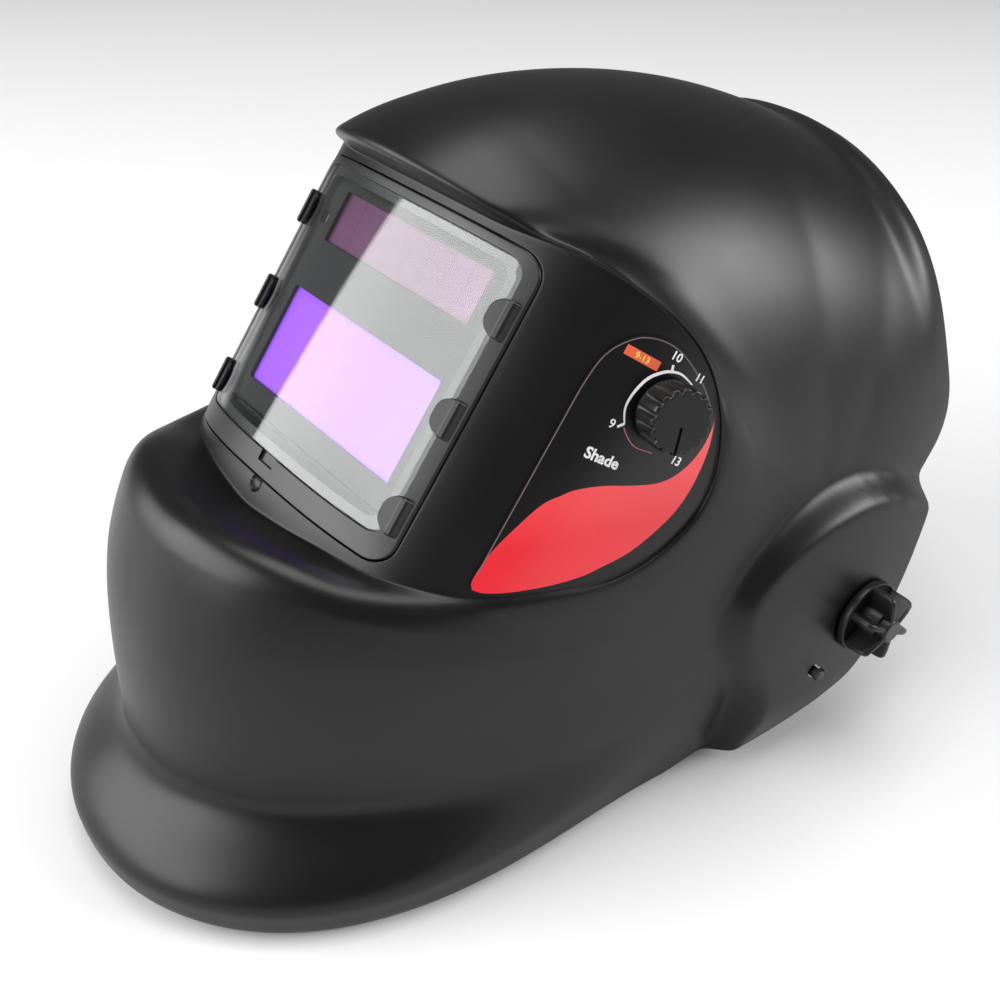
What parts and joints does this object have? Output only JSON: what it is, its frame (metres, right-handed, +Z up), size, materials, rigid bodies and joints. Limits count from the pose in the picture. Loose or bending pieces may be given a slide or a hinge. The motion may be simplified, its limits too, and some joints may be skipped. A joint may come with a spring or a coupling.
{
  "type": "welding helmet",
  "caption": "Auto-darkening welding helmet with a full-face shell, flip-up head gear, outside shade dial, clipped cover lens and ratchet headband.",
  "frame": {"origin": "centre of the footprint box on the table plane that the chin lip and the side edges rest on", "axes": "+X wearer's left, -Y front (the filter faces -Y and up), +Z up from the table"},
  "size_m": [0.2648, 0.3943, 0.2496],
  "materials": {
    "shell_black": "fine-grained satin black polyamide",
    "bezel_black": "satin black",
    "clear_lens": "clear polycarbonate",
    "cartridge_black": "fine matte black",
    "lcd_glass": "violet reflective filter glass",
    "solar_glass": "mauve solar cell under glass",
    "sensor_dark": "dark tinted dome",
    "white_mark": "grey adjuster",
    "screw_steel": "zinc-plated",
    "label_gloss": "gloss black with a red sweep and a white scale",
    "dial_black": "satin black",
    "pot_metal": "bare",
    "brass": "turned",
    "band_black": "flexible nylon",
    "washer_nylon": "natural nylon",
    "sweat_cloth": "towelling over foam",
    "pad_foam": "soft moulded foam"
  },
  "bodies": {
    "shell": {"helmet_shell": "shell_black", "lens_bezel": "bezel_black", "bezel_clips": "bezel_black", "cover_lens": "clear_lens", "cartridge_front": "cartridge_black", "cartridge_rear": "cartridge_black", "lcd_window": "lcd_glass", "solar_cell": "solar_glass", "arc_sensors": "sensor_dark", "inner_cover_lens": "clear_lens", "battery_door": "cartridge_black", "cartridge_holder": "bezel_black", "holder_screws": "screw_steel", "shade_label": "label_gloss", "pot_housing": "pot_metal", "pot_nut": "brass", "lead_socket": "cartridge_black"},
    "shade_dial_unit": {"shade_dial": "dial_black", "pot_shaft": "pot_metal"},
    "sensitivity_wheel": {"sensitivity_knob": "white_mark"},
    "delay_wheel": {"delay_knob": "white_mark"},
    "knob_left": {"pivot_knob_left": "dial_black", "knob_insert_left": "brass"},
    "knob_right": {"pivot_knob_right": "dial_black", "knob_insert_right": "brass"},
    "stop_left": {"stop_lever_left": "band_black"},
    "stop_right": {"stop_lever_right": "band_black"},
    "headgear": {"headband": "band_black", "side_arm_left": "band_black", "side_arm_right": "band_black", "arm_rivets": "band_black", "pivot_bolt_left": "screw_steel", "pivot_bolt_right": "screw_steel", "friction_washers": "washer_nylon", "crown_strap_left": "band_black", "crown_strap_right": "band_black", "crown_strap_pins": "band_black", "sweatband": "sweat_cloth", "ratchet_housing": "band_black", "ratchet_cover": "band_black", "rear_pad": "pad_foam"},
    "ratchet": {"ratchet_pinion": "band_black", "ratchet_knob": "dial_black"},
    "tail_left": {"rack_left": "band_black"},
    "tail_right": {"rack_right": "band_black"}
  },
  "joints": [
    {"name": "headgear_tilt", "type": "hinge", "parent": "shell", "child": "headgear", "pos_m": [0, 0.073, 0.061], "axis": [1, 0, 0], "range_deg": [-36, 45]},
    {"name": "shade_setting", "type": "hinge", "parent": "shell", "child": "shade_dial_unit", "pos_m": [0.0943, -0.01943, 0.17141], "axis": [0.9493, -0.2513, 0.1887], "range_deg": [-25, 245]},
    {"name": "sensitivity_setting", "type": "hinge", "parent": "shell", "child": "sensitivity_wheel", "pos_m": [-0.022, -0.0463, 0.19122], "axis": [0, 0.7997, -0.6004], "range_deg": [-135, 135]},
    {"name": "delay_setting", "type": "hinge", "parent": "shell", "child": "delay_wheel", "pos_m": [0.022, -0.0463, 0.19122], "axis": [0, 0.7997, -0.6004], "range_deg": [-135, 135]},
    {"name": "knob_left_turn", "type": "hinge", "parent": "shell", "child": "knob_left", "pos_m": [0.125, 0.073, 0.061], "axis": [1, 0, 0], "continuous": true},
    {"name": "knob_right_turn", "type": "hinge", "parent": "shell", "child": "knob_right", "pos_m": [-0.125, 0.073, 0.061], "axis": [-1, 0, 0], "continuous": true},
    {"name": "stop_left_swing", "type": "hinge", "parent": "shell", "child": "stop_left", "pos_m": [0.11165, 0.073, 0.061], "axis": [1, 0, 0], "range_deg": [-6.5, 6.5]},
    {"name": "stop_right_swing", "type": "hinge", "parent": "shell", "child": "stop_right", "pos_m": [-0.11165, 0.073, 0.061], "axis": [1, 0, 0], "range_deg": [-6.5, 6.5]},
    {"name": "ratchet_turn", "type": "hinge", "parent": "headgear", "child": "ratchet", "pos_m": [0, 0.178, 0.095], "axis": [0, 1, 0], "range_deg": [-90, 90]},
    {"name": "tail_left_slide", "type": "slide", "parent": "headgear", "child": "tail_left", "axis": [1, 0, 0], "range_m": [-0.0112, 0.0112]},
    {"name": "tail_right_slide", "type": "slide", "parent": "headgear", "child": "tail_right", "axis": [-1, 0, 0], "range_m": [-0.0112, 0.0112]}
  ],
  "couplings": [
    {"joint": "tail_left_slide", "follows": "ratchet_turn", "m_per_rad": 0.007},
    {"joint": "tail_right_slide", "follows": "ratchet_turn", "m_per_rad": 0.007}
  ]
}
